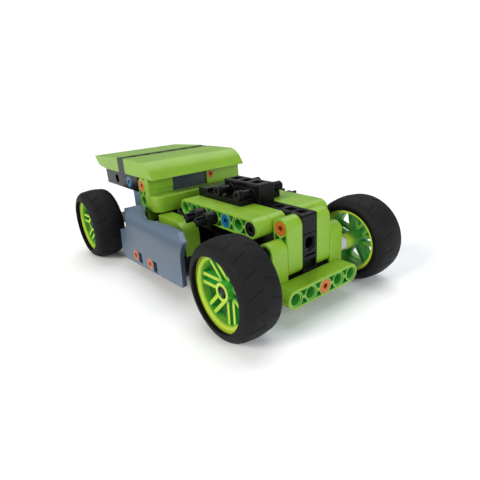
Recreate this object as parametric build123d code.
from build123d import *
import os
from math import cos, radians, sin

os.makedirs("parts", exist_ok=True)

# ---- Driving dimensions, in millimetres ------------------------------------------
# +X is the nose of the car, +Y its left side, +Z up. The origin is on the ground,
# under the middle of the whole length and width. The kit's grid is one pitch, which
# is also the width of a beam, so that beams lie side by side without a gap.

pitch = 10.0  # from one hole of the kit to the next
hole_d = 6.0  # every round hole
seat_d = 7.4  # shallow seat round a hole, for a pin's collar
seat_depth = 0.6
rim_wall = 1.3  # wall round the edge of a cored beam
ring_d = 8.6  # ring of plastic round each hole of a cored beam
rib = 1.5  # rib along the middle of a cored beam
core_depth = 3.4  # depth of the triangular pockets
edge_round = 0.5  # rounding of a beam's outer edges
pin_gap = 0.05  # radial clearance of a pin in its hole
axle_gap = 0.07  # radial clearance of an axle in its hole
running_gap = 0.4  # between a turning piece and the frame beside it
end_gap = 0.5  # from the end of a pin to the middle, or to its beam's far face

tyre_d = 48.0
tyre_width = 21.0
tyre_crown = 0.5  # how much the tread stands higher in its middle
tyre_section = 5.5  # rubber between the rim's lip and the tread
tyre_shoulder = 4.5
rim_recess = 2.6  # the rim's outer lip lies this far inside the tyre's wall
rim_inner_recess = 3.4
rim_lip_width = 2.0
rim_wall_thickness = 1.4
spoke_pairs = 6
spoke_phase = 171.0  # angle of the first pair of spokes, from the nose towards up
spoke_width = 1.8
spoke_spread = 2.25  # from the middle of a pair to the middle of each spoke
spoke_depth = 3.6
spoke_slope = 3.2  # the spokes' inner ends lie this much deeper than their outer ends
hub_d = 9.0
hub_reach = 24.0  # the hub's inner end, from the tyre's outer wall
bush_d = 8.0

wheelbase_steps = 15  # holes from one axle to the other
front_track = 110.0  # over the outer walls of the front tyres
rear_track = 124.0

roof_front_steps = 8.87  # from the front axle to the roof's front edge
roof_length = 96.3
roof_thickness = 10.0
roof_wall = 2.0
side_panel_wall = 2.5

beam = pitch
half = beam / 2
wheelbase = wheelbase_steps * pitch
tyre_r = tyre_d / 2
axle_z = tyre_r
rear_reach = max(roof_front_steps * pitch + roof_length, wheelbase + tyre_r)
front_axle_x = (rear_reach - tyre_r) / 2
rear_axle_x = front_axle_x - wheelbase
hole_r = hole_d / 2
pin_r = hole_r - pin_gap
axle_r = hole_r - axle_gap
seat_r = seat_d / 2
sides = (("left", 1), ("right", -1))

parts = {}


def row(steps):
    """X of the place that many steps behind the front axle."""
    return front_axle_x - steps * pitch


def lane(steps):
    """Y of the place that many steps to the left."""
    return steps * pitch


def level(steps):
    """Height of the place that many steps above the axles."""
    return axle_z + steps * pitch


def save(name, *shapes):
    """Keep a node, which is one solid or a group of separate solids."""
    parts[name] = shapes[0] if len(shapes) == 1 else Compound(children=list(shapes))


# ---- Beams, pins and axles of the kit ----------------------------------------------


def block(x0, x1, y0, y1, z0, z1):
    """A box between two opposite corners."""
    centre = Pos((x0 + x1) / 2, (y0 + y1) / 2, (z0 + z1) / 2)
    return centre * Box(abs(x1 - x0), abs(y1 - y0), abs(z1 - z0))


def rod_y(x, y0, y1, z, radius):
    """A cylinder along Y."""
    return Pos(x, (y0 + y1) / 2, z) * Rot(90, 0, 0) * Cylinder(radius, abs(y1 - y0))


def rod_x(x0, x1, y, z, radius):
    """A cylinder along X."""
    return Pos((x0 + x1) / 2, y, z) * Rot(0, 90, 0) * Cylinder(radius, abs(x1 - x0))


def seated_hole(x, y, z):
    """Cutter for a hole along Y through a beam, with a seat at both faces."""
    tool = rod_y(x, y - beam, y + beam, z, hole_r)
    for side in (-1, 1):
        face = y + side * half
        tool += rod_y(x, face - side * seat_depth, face + side * half, z, seat_r)
    return tool


def cored_beam(holes):
    """A beam along +X from its first hole at the origin. Its holes run along Y."""
    span = (holes - 1) * pitch
    middle = Pos(span / 2, 0)
    outline = SlotCenterToCenter(span, beam)
    body = extrude(Plane.XZ * middle * outline, half, both=True)
    body = fillet(body.faces().filter_by(Axis.Y).edges(), edge_round)
    core = SlotCenterToCenter(span, beam - 2 * rim_wall)
    core -= Rectangle(span + beam, rib)
    for hole in range(holes):
        core -= Pos(hole * pitch - span / 2, 0) * Circle(ring_d / 2)
    for side in (-1, 1):
        face = Plane.XZ.offset(side * half)
        body -= extrude(face * middle * core, -side * core_depth)
    for hole in range(holes):
        body -= seated_hole(hole * pitch, 0, 0)
    return body


def beam_along_x(first_x, holes, y, z):
    """A cored beam that runs back from first_x, with its holes along Y."""
    return Pos(first_x, y, z) * Rot(0, 0, 180) * cored_beam(holes)


def beam_upright(x, y, first_z, holes):
    """A cored beam that stands up from first_z, with its holes along Y."""
    return Pos(x, y, first_z) * Rot(0, -90, 0) * cored_beam(holes)


pin_bore_share = 0.5  # of the pin's own radius
pin_bore_depth = 4.0
pin_slot = 0.8


def kit_pin(length):
    """A hollow pin along +Y from its collar at the origin, with a split far end."""
    body = rod_y(0, 0, length, 0, pin_r)
    body += rod_y(0, 0, seat_depth, 0, seat_r - pin_gap)
    depth = min(pin_bore_depth, length / 3)
    for start, end in ((0, depth), (length - depth, length)):
        body -= rod_y(0, start, end, 0, pin_r * pin_bore_share)
    return body - block(-seat_r, seat_r, length - depth, length, -pin_slot / 2, pin_slot / 2)


def cross_axle(y0, y1, radius=axle_r):
    """A cross-shaped axle along Y, its arms rounded to fit a round hole."""
    arm = radius * 0.31
    cross = block(-radius, radius, y0, y1, -arm, arm)
    cross += block(-arm, arm, y0, y1, -radius, radius)
    return cross & rod_y(0, y0, y1, 0, radius)


# ---- Bumper and nose ------------------------------------------------------------------

bumper_holes = 5
bumper_reach = (bumper_holes - 1) / 2
bumper_start = Pos(row(-1), lane(-bumper_reach), level(-1))
save("bumper_beam", bumper_start * Rot(0, 0, 90) * cored_beam(bumper_holes))

nose_holes = 3
for name, side in sides:
    save("nose_beam_" + name, beam_upright(row(0), lane(side), level(0), nose_holes))
    save("nose_cheek_" + name, beam_upright(row(0), lane(2 * side), level(-1), nose_holes))

# The cap is the plain upper block of the black column, with a square window on top.
nose_front = row(0) + half
nose_back = row(0) - half
cap_bottom = level(2) - half
cap_top = level(2) + half
cap_round = 1.2
window = 5.2  # side of the square windows in the black spine
nose_cap = block(nose_back, nose_front, -half, half, cap_bottom, cap_top)
nose_cap = fillet(nose_cap.edges().filter_by(Axis.Y).group_by(Axis.Z)[-1], cap_round)
nose_cap = chamfer(nose_cap.edges().filter_by(Axis.Y).group_by(Axis.Z)[0], 0.5)
cap_window_x = row(0.05)
nose_cap -= block(cap_window_x - half / 2, cap_window_x + half / 2, -window / 2, window / 2,
                  cap_top - 4, cap_top)
nose_cap -= rod_y(row(0), -half, half, level(2), hole_r)
save("nose_cap", nose_cap)

# The bracket stands between the nose beams and turns back between the rails. Its front
# shows a hole in a long six-sided recess, and below it a shelf across a pocket.
recess_half_width = 3.4
recess_half_height = 4.9
recess_depth = 0.8
pocket_depth = 1.6
shelf_height = 2.2
bracket = block(nose_back, nose_front, -half, half, level(0) - half, cap_bottom)
bracket += block(row(3) - half, nose_back, -half, half, level(0) - half, level(0) + half)
six_sides = Polyline(
    (-recess_half_width, -recess_half_height / 2), (0, -recess_half_height),
    (recess_half_width, -recess_half_height / 2), (recess_half_width, recess_half_height / 2),
    (0, recess_half_height), (-recess_half_width, recess_half_height / 2), close=True,
)
front_plane = Plane(origin=(nose_front, 0, level(1)), x_dir=(0, 1, 0), z_dir=(1, 0, 0))
bracket -= extrude(front_plane * make_face(six_sides), -recess_depth)
bracket -= rod_x(row(0), nose_front, 0, level(1), hole_r)
for steps in (0, 1, 2, 3):
    bracket -= rod_y(row(steps), -half, half, level(0), hole_r)
pocket_top = level(1) - recess_half_height - 0.7
shelf_bottom = level(0.1)
for z0, z1 in ((level(0) - 3.5, shelf_bottom), (shelf_bottom + shelf_height, pocket_top)):
    bracket -= block(nose_front - pocket_depth, nose_front, -half + 1.2, half - 1.2, z0, z1)
save("nose_bracket", bracket)

# The foot lies under the bracket and takes the bumper's pins.
foot = block(row(2.5), nose_front, lane(-1.5), lane(1.5), level(-1) - half, level(-1) + half)
for steps in (-1, 0, 1):
    foot -= rod_x(nose_back, nose_front, lane(steps), level(-1), hole_r)
for edge in (-1, 1):
    foot -= rod_y(row(1.2), lane(edge), lane(2 * edge), level(-1), hole_r)
save("nose_foot", foot)

# ---- Hood ------------------------------------------------------------------------------

hood_holes = 7
hood_z = level(2)
hood_top = hood_z + half
for name, side in sides:
    save("hood_side_beam_" + name, beam_along_x(row(1), hood_holes, lane(2 * side), hood_z))
    save("hood_top_beam_" + name, beam_along_x(row(1), hood_holes, lane(side), hood_z))

# The spine fills the middle of the hood, with square windows in its top.
post_steps = {"front": 4, "rear": 7}
window_depth = 1.6
spine = block(row(post_steps["front"]) + half, nose_back, -half, half, hood_z - half, hood_top)
for steps in (1, 2, 3):
    spine -= rod_y(row(steps), -half, half, hood_z, hole_r)
for steps in (0.78, 1.54):
    x = row(steps)
    spine -= block(x - window / 2, x + window / 2, -window / 2, window / 2,
                   hood_top - window_depth, hood_top)
save("hood_spine", spine)

for name, steps in post_steps.items():
    x = row(steps)
    post = block(x - half, x + half, -half, half, level(0) - half, hood_top)
    for height in (0, 1, 2):
        post -= rod_y(x, -half, half, level(height), hole_r)
    save("hood_post_" + name, post)

# ---- Engine on the hood --------------------------------------------------------------

engine_front = row(3)
engine_back = row(7)
engine_half = lane(1.45)
engine_plate = 3.0
engine_step = 5.5  # height of the step at the back of the plate
engine_base_top = hood_top + engine_plate
base = block(engine_back, engine_front, -engine_half, engine_half, hood_top, engine_base_top)
base = fillet(base.edges().filter_by(Axis.Z), 1.5)
base += block(engine_back, row(6.1), -engine_half, engine_half, hood_top, hood_top + engine_step)
save("engine_base", base)

block_front = row(2.55)
block_half = 5.2
engine_height = 10.4
engine_top = hood_top + engine_height
cylinder_rows = (3.2, 5.0)
pin_steps = {"collar": 2.7, "shaft": 2.1, "bore": 1.4}  # radii of an engine pin
engine_z = engine_base_top + pin_steps["collar"] + 0.1
engine = block(row(5.6), engine_front, -block_half, block_half, engine_base_top, engine_top)
engine += block(engine_front, block_front, -block_half, block_half, hood_top, engine_top)
window_x = block_front - 7.5
for number in range(3):
    x = window_x - number * 9.0
    engine -= block(x - 3.0, x + 3.0, -2.9, 2.9, engine_top - 2.5, engine_top)
for side in (-1, 1):
    # A long groove along each flank, over a ledge.
    engine -= block(row(5.4), row(2.75), side * block_half, side * (block_half - 1.0),
                    engine_top - 3.2, engine_top - 1.4)
for steps in cylinder_rows:
    engine -= rod_y(row(steps), -block_half, block_half, engine_z, pin_steps["collar"])
save("engine_block", engine)

# Each bank is two short pins with a split collar at the outer end and an open bore.
engine_pin_reach = lane(1.55)
collar = 1.3
split = 0.9
for name, side in sides:
    bank = []
    for steps in cylinder_rows:
        x = row(steps)
        end = side * engine_pin_reach
        shaft = rod_y(x, side * end_gap, end, engine_z, pin_steps["shaft"])
        shaft += rod_y(x, side * end_gap, side * block_half, engine_z,
                       pin_steps["collar"] - pin_gap)
        for start in (engine_pin_reach - collar, engine_pin_reach - 2 * collar - split):
            shaft += rod_y(x, side * start, side * (start + collar), engine_z,
                           pin_steps["collar"])
        shaft -= rod_y(x, side * engine_half, end, engine_z, pin_steps["bore"])
        bank.append(shaft)
    save("engine_cylinders_" + name, *bank)

# ---- Exhaust pipes in the hood ---------------------------------------------------------

hood_outer = lane(2.5)
pipe_socket_d = 7.4
pipe_socket_length = 6.6
pipe_tip_length = 4.8
pipe_tip_d = 5.2
pipe_root = 0.4  # how far the cross-shaped tip stands inside its socket
for name, side in sides:
    pipes = []
    for steps in (4, 5):
        x = row(steps)
        root = side * hood_outer
        mouth = root + side * pipe_socket_length
        shaft = rod_y(x, side * (half + running_gap), root, hood_z, pin_r)
        socket = rod_y(x, root, mouth, hood_z, pipe_socket_d / 2)
        socket = fillet(socket.edges().filter_by(GeomType.CIRCLE), 0.6)
        socket -= block(x - half, x + half, mouth - side * 2.5, mouth, hood_z - 0.8, hood_z + 0.8)
        tip = Pos(x, 0, hood_z) * cross_axle(
            mouth - side * (2.5 + pipe_root), mouth + side * pipe_tip_length, pipe_tip_d / 2)
        pipes.append(shaft + socket + tip)
    save("exhaust_pipes_" + name, *pipes)

# ---- Chassis rails --------------------------------------------------------------------

rail_holes = wheelbase_steps + 1
for name, side in sides:
    save("chassis_rail_" + name, beam_along_x(row(1), rail_holes, lane(side), level(0)))

# ---- Cabin floor, sills and posts ---------------------------------------------------

cabin_post_x = row(10.5)
floor_top = level(-1) + half
cabin_half_width = lane(3.5)
ear_x = (row(7.5), cabin_post_x)
sill_pin_x = (row(7.5), row(9.5))

floor = block(row(11.2), row(6.2), -cabin_half_width, cabin_half_width,
              level(-1) - half, floor_top)
for x in sill_pin_x:
    for edge in (-1, 1):
        floor -= rod_y(x, lane(2.5 * edge), lane(3.5 * edge), level(-1), hole_r)
floor += block(row(10) - half, row(8) + half, -half, half, floor_top, level(0) + half)
for steps in (8, 10):
    floor -= rod_y(row(steps), -half, half, level(0), hole_r)
for x in ear_x:
    for edge in (-1, 1):
        inner = lane(1.5 * edge)
        outer = lane(2.5 * edge)
        floor += block(x - half, x + half, inner, outer, floor_top, level(1) + half)
        floor -= rod_y(x, inner, outer, level(1), hole_r)
save("cabin_floor", floor)

sill_holes = 6
post_holes = 3
for name, side in sides:
    save("sill_beam_" + name, beam_along_x(row(5.5), sill_holes, lane(4 * side), level(-1)))
    save("cabin_post_" + name, beam_upright(cabin_post_x, lane(3 * side), level(1), post_holes))

# ---- Side pods, dash and windscreen ----------------------------------------------------

pod_round = 7.0
for name, side in sides:
    inner = lane(2.5 * side)
    pod = block(row(8.8), row(5.7), inner, side * cabin_half_width, floor_top, level(1.4))
    upper = pod.edges().filter_by(Axis.Y).group_by(Axis.Z)[-1].sort_by(Axis.X)[-1]
    pod = fillet(upper, pod_round)
    pod = fillet(pod.edges().filter_by(Axis.Z).group_by(Axis.X)[0], 2.0)
    pod -= rod_y(ear_x[0], inner, inner + side * 6, level(1), hole_r)
    save("side_pod_" + name, pod)

dash_back = cabin_post_x + half
screen_thickness = 5.0
screen_front = dash_back + screen_thickness
dash = block(dash_back, row(8.7), -cabin_half_width, cabin_half_width, hood_z - half, hood_top)
dash = fillet(dash.edges().filter_by(Axis.Z).group_by(Axis.X)[-1], 5.5)
dash = fillet(dash.faces().sort_by(Axis.Z)[-1].edges().sort_by(Axis.X)[-1], 1.0)
save("dash_panel", dash)

# The screen is a dark plate between two blocks, one with a low window and one with a pin.
plate_right = lane(-1.8)
plate_left = lane(0.8)
plate_set_back = 1.5
window_inset = 1.1
window_height = 3.0
screen_top = level(3) + half
screen_pin_y = lane(1.1)
screen_pin_z = level(3.1)
screen_pin_r = 2.5
left_block = block(dash_back, screen_front, plate_left, cabin_half_width, hood_top, screen_top)
left_block -= rod_x(dash_back, screen_front, screen_pin_y, screen_pin_z, screen_pin_r)
save("screen_block_left", left_block)
right_block = block(dash_back, screen_front, -cabin_half_width, plate_right, hood_top, screen_top)
right_block -= block(screen_front - window_inset, screen_front, lane(-2.9), plate_right,
                     hood_top, hood_top + window_height)
save("screen_block_right", right_block)
plate_front = screen_front - plate_set_back
save("windscreen_plate", block(dash_back, plate_front, plate_right, plate_left, hood_top, screen_top))

# ---- Roof ------------------------------------------------------------------------------

roof_bottom = screen_top
roof_top = roof_bottom + roof_thickness
roof_front_x = row(roof_front_steps)
roof_back_x = roof_front_x - roof_length
tail_x = roof_back_x + 20.0  # the roof's underside slopes up behind this place
rear_post_x = tail_x + half
roof_pin_x = row(12.5)
roof_open_x = row(14.5)
ring_r = 4.4
for name, side in sides:
    inner = lane(2.5 * side)
    outer = lane(3.5 * side)
    rail = block(rear_post_x - half, cabin_post_x - half, inner, outer, level(3) - half, roof_bottom)
    for x in (roof_pin_x, roof_open_x):
        rail -= seated_hole(x, lane(3 * side), level(3))
    rail += rod_y(roof_open_x, outer - side * seat_depth, outer, level(3), ring_r)
    rail -= rod_y(roof_open_x, inner, outer, level(3), hole_r)
    save("roof_beam_" + name, rail)
    post_inner = lane(0.5 * side)
    post_outer = lane(1.5 * side)
    post = block(rear_post_x - half, rear_post_x + half, post_inner, post_outer,
                 level(0) + half, roof_bottom)
    for height in range(1, 4):
        post -= rod_y(rear_post_x, post_inner, post_outer, level(height), hole_r)
    save("rear_post_" + name, post)

# The bar lies across the roof, with a row of square pockets in its top.
roof_bar_x = row(13.47)
roof_bar_half = 5.3
roof_bar_drop = 0.3
bar_pockets = 6
pocket = 4.4
bar_front = roof_bar_x + roof_bar_half
bar_back = roof_bar_x - roof_bar_half
bar_top = roof_top - roof_bar_drop
bar = block(bar_back, bar_front, -cabin_half_width, cabin_half_width, roof_bottom, bar_top)
for number in range(bar_pockets):
    y = lane(number - (bar_pockets - 1) / 2)
    bar -= block(roof_bar_x - pocket / 2, roof_bar_x + pocket / 2, y - pocket / 2, y + pocket / 2,
                 bar_top - 2.0, bar_top)
save("roof_bar", bar)


def roof_panel(points, rounded, radius):
    """A solid across the car from its side outline, with some corners rounded."""
    shape = make_face(Polyline(*points, close=True))
    corners = [shape.vertices().sort_by_distance(Vector(*points[index], 0))[0]
               for index in rounded]
    shape = fillet(corners, radius)
    return extrude(Plane.XZ * shape, cabin_half_width, both=True)


def ribbed(panel, x0, x1):
    """Hollow a panel from below, leaving ribs, so its wall stays thin."""
    cells = 5
    inner_width = 2 * cabin_half_width - 2 * roof_wall
    cell = (inner_width - (cells - 1) * roof_wall) / cells
    for number in range(cells):
        y0 = -cabin_half_width + roof_wall + number * (cell + roof_wall)
        panel -= block(x0, x1, y0, y0 + cell, roof_bottom - 1, roof_top - 2 * roof_wall)
    return panel


front_slope_x = roof_front_x - 10.0
front_panel = [
    (bar_front, roof_bottom),
    (bar_front, roof_top),
    (front_slope_x, roof_top),
    (roof_front_x - 4.2, roof_top - 4.0),
    (roof_front_x, roof_bottom),
]
front_solid = roof_panel(front_panel, (2, 3), 12.0)
save("roof_panel_front", ribbed(front_solid, bar_front + roof_wall, roof_front_x - 9.0))
rear_panel = [
    (bar_back, roof_bottom),
    (bar_back, roof_top),
    (roof_back_x, roof_top - 2.0),
    (roof_back_x + 6.5, roof_bottom + 1.5),
    (tail_x, roof_bottom),
]
rear_solid = roof_panel(rear_panel, (3,), 8.0)
save("roof_panel_rear", ribbed(rear_solid, tail_x + 1.0, bar_back - roof_wall))

# ---- Grey side panels -----------------------------------------------------------------

panel_outer = lane(5)
panel_inner = panel_outer - side_panel_wall
panel_straight_top = level(0.4)
panel_low = level(-1.9)
panel_bend_radius = lane(1.8)
panel_bend_angle = radians(66.0)
# Each corner is given in steps behind the front axle and in steps above it.
panel_corners = [
    (11.1, -1.7), (11.75, -1.25), (11.45, 0.3), (10.7, 0.45), (10.45, 0.75), (10.85, 1.2),
    (10.7, 1.8), (9.8, 1.95), (9.2, 1.65), (8.4, 1.43), (6.0, 1.58), (4.4, 1.56),
    (3.6, 1.25), (3.7, -1.2),
]
panel_corner_round = 1.2


def bend_point(radius, angle):
    """Point of the panel's rolled top, across the car and up."""
    centre_y = panel_outer - panel_bend_radius
    return (centre_y + radius * cos(angle), panel_straight_top + radius * sin(angle))


def panel_section():
    """Closed outline of the panel's bent wall, seen from the front."""
    outer_r = panel_bend_radius
    inner_r = panel_bend_radius - side_panel_wall
    half_angle = panel_bend_angle / 2
    outer_end = bend_point(outer_r, panel_bend_angle)
    inner_end = bend_point(inner_r, panel_bend_angle)
    outer_start = (panel_outer, panel_straight_top)
    inner_start = (panel_inner, panel_straight_top)
    outline = Line((panel_outer, panel_low), outer_start)
    outline += ThreePointArc(outer_start, bend_point(outer_r, half_angle), outer_end)
    outline += Line(outer_end, inner_end)
    outline += ThreePointArc(inner_end, bend_point(inner_r, half_angle), inner_start)
    outline += Line(inner_start, (panel_inner, panel_low))
    outline += Line((panel_inner, panel_low), (panel_outer, panel_low))
    return make_face(outline)


section_plane = Plane(origin=(row(12.5), 0, 0), x_dir=(0, 1, 0), z_dir=(1, 0, 0))
bent_wall = extrude(section_plane * panel_section(), lane(10))
side_face = make_face(Polyline(*[(row(x), level(z)) for x, z in panel_corners], close=True))
side_face = fillet(side_face.vertices(), panel_corner_round)
side_prism = extrude(Plane.XZ.offset(-lane(6)) * side_face, lane(4))
left_panel = bent_wall & side_prism
sill_outer = lane(4.5)
boss_r = 5.0
slot_half_height = 3.5
slot_width = 5.0
slot_lap = 0.6  # the slot laps the boss by this much
for x in sill_pin_x:
    slot_x = x + boss_r - slot_lap
    left_panel += rod_y(x, sill_outer, panel_inner, level(-1), boss_r)
    left_panel -= rod_y(x, sill_outer, panel_outer, level(-1), hole_r)
    left_panel -= rod_y(x, panel_outer - seat_depth, panel_outer, level(-1), seat_r)
    left_panel -= block(slot_x, slot_x + slot_width, panel_inner, panel_outer,
                        level(-1) - slot_half_height, level(-1) + slot_half_height)
save("side_panel_left", left_panel)
save("side_panel_right", mirror(left_panel, Plane.XZ))

arm_front = cabin_post_x - half - end_gap
arm_back = arm_front - 9
for name, side in sides:
    outer = side * cabin_half_width
    arm = block(arm_back, arm_front, lane(2.8 * side), outer, level(1), level(3) - half)
    arm += block(arm_back, arm_front, outer, lane(4.35 * side), level(1), level(1.45))
    save("side_arm_" + name, arm)

# ---- Wheels --------------------------------------------------------------------------

lip_r = tyre_r - tyre_section
barrel_r = lip_r - 1.25
inner_lip_r = lip_r + 0.5
barrel_inner_r = barrel_r - rim_wall_thickness
lip_inner_r = barrel_inner_r - 0.55
rubber_gap = 0.2
bead_r = barrel_r + pin_gap
hub_face = rim_recess + 1.6
spoke_face = rim_recess + 1.8
barrel_end = tyre_width - rim_inner_recess


def tyre_shape():
    """Tyre from its outer wall at Y 0 to its inner wall."""
    width = tyre_width
    lip_back = rim_recess + rim_lip_width
    wall_r = tyre_r - tyre_crown - tyre_shoulder + 0.6
    near_corner = (tyre_r - tyre_crown, tyre_shoulder)
    far_corner = (tyre_r - tyre_crown, width - tyre_shoulder)
    arc_r = tyre_shoulder + 0.2
    inner_seat = inner_lip_r + rubber_gap
    outer_seat = lip_r + rubber_gap
    straight = [
        (wall_r, 0), (lip_r + 0.9, rim_recess * 0.45), (outer_seat, rim_recess),
        (outer_seat, lip_back), (bead_r, lip_back), (bead_r, barrel_end),
        (inner_seat, barrel_end), (inner_seat, width - 0.6), (inner_seat + 0.6, width),
        (wall_r, width),
    ]
    outline = Polyline(*straight)
    outline += RadiusArc((wall_r, width), far_corner, arc_r)
    outline += ThreePointArc(far_corner, (tyre_r, width / 2), near_corner)
    outline += RadiusArc(near_corner, (wall_r, 0), arc_r)
    return revolve(Plane.XY * make_face(outline), Axis.Y)


def rim_shape():
    """Rim with its hub, from the outer lip to the hub's inner end."""
    first = rim_recess
    end = barrel_end + 2.2
    outline = Polyline(
        (lip_inner_r, first + 1.2), (lip_inner_r + 0.5, first + 0.35), (lip_inner_r + 1.4, first),
        (lip_r, first), (lip_r, first + rim_lip_width), (barrel_r, first + rim_lip_width),
        (barrel_r, barrel_end), (inner_lip_r, barrel_end), (inner_lip_r, end),
        (barrel_inner_r, end), (barrel_inner_r, spoke_face + spoke_depth),
        (lip_inner_r, spoke_face + spoke_depth - 0.6), close=True,
    )
    rim = revolve(Plane.XY * make_face(outline), Axis.Y)
    rim += rod_y(0, hub_face, hub_reach, 0, hub_d / 2)
    spoke_start = hub_d / 2 - 1.2
    spoke_end = lip_inner_r + 0.5
    inner_face = spoke_face + spoke_slope
    spoke_side = make_face(Polyline(
        (spoke_start, inner_face), (spoke_end, spoke_face), (spoke_end, spoke_face + spoke_depth),
        (spoke_start, inner_face + spoke_depth), close=True,
    ))
    spoke = extrude(Plane.XY * spoke_side, spoke_width / 2, both=True)
    for pair in range(spoke_pairs):
        angle = spoke_phase + pair * 360 / spoke_pairs
        for lean in (-1, 1):
            rim += Rot(0, -angle, 0) * Pos(0, 0, lean * spoke_spread) * spoke
    rim -= cross_axle(-1, hub_reach + 1)
    return rim - rod_y(0, hub_face - 1, hub_face + 1.2, 0, hole_r)


wheel_tyre = tyre_shape()
wheel_rim = rim_shape()
axle_stop = hub_face + 0.4
for end_name, x, track in (("front", front_axle_x, front_track), ("rear", rear_axle_x, rear_track)):
    bushes = []
    for name, side in sides:
        # The wheel is drawn for the right side and mirrored for the left.
        place = Pos(x, side * track / 2, axle_z)
        tyre = wheel_tyre if side < 0 else mirror(wheel_tyre, Plane.XZ)
        rim = wheel_rim if side < 0 else mirror(wheel_rim, Plane.XZ)
        save(f"tyre_{end_name}_{name}", place * tyre)
        save(f"rim_{end_name}_{name}", place * rim)
        inner = side * (lane(2.5) + running_gap)
        outer = side * (track / 2 - hub_reach)
        bush = rod_y(x, inner, outer, axle_z, bush_d / 2)
        bush -= Pos(x, 0, axle_z) * cross_axle(-track / 2, track / 2)
        bushes.append(bush)
    save(end_name + "_bushes", *bushes)
    reach = track / 2 - axle_stop
    save(end_name + "_axle", Pos(x, 0, axle_z) * cross_axle(-reach, reach))

# ---- Pins -----------------------------------------------------------------------------


def pin_at(x, y, z, side, length):
    """A pin along Y whose collar faces outwards on that side."""
    turn = Rot(0, 0, 180) if side > 0 else Rot(0, 0, 0)
    return Pos(x, y, z) * turn * kit_pin(length)


bumper_pin_length = 2 * beam - end_gap
bumper_pin_place = Pos(row(-1) + half, 0, level(-1)) * Rot(0, 0, 90)
orange = [bumper_pin_place * kit_pin(bumper_pin_length)]
screen_pin = rod_x(dash_back + end_gap, screen_front, screen_pin_y, screen_pin_z,
                   screen_pin_r - pin_gap)
screen_pin -= rod_x(screen_front - 2, screen_front, screen_pin_y, screen_pin_z,
                    screen_pin_r * pin_bore_share)
orange.append(screen_pin)
blue = []
black = []
for name, side in sides:
    orange.append(pin_at(row(0), lane(1.5 * side), level(2), side, lane(1.5) - end_gap))
    orange.append(pin_at(cabin_post_x, lane(3.5 * side), level(3), side, beam - end_gap))
    for x in sill_pin_x:
        orange.append(pin_at(x, side * panel_outer, level(-1), side, panel_outer - lane(2.6)))
    blue.append(pin_at(row(3), side * hood_outer, hood_z, side, hood_outer - end_gap))
    blue.append(pin_at(roof_pin_x, lane(3.5 * side), level(3), side, beam - end_gap))
    black.append(pin_at(row(1), side * hood_outer, hood_z, side, hood_outer - end_gap))
    black.append(pin_at(row(0), lane(2.5 * side), level(1), side, 2 * beam - end_gap))
    for steps in (2, 10):
        black.append(pin_at(row(steps), lane(1.5 * side), level(0), side, lane(1.5) - end_gap))
save("orange_pins", *orange)
save("blue_pins", *blue)
save("black_pins", *black)

for node, shape in parts.items():
    export_step(shape, f"parts/{node}.step")
print("nodes", len(parts))
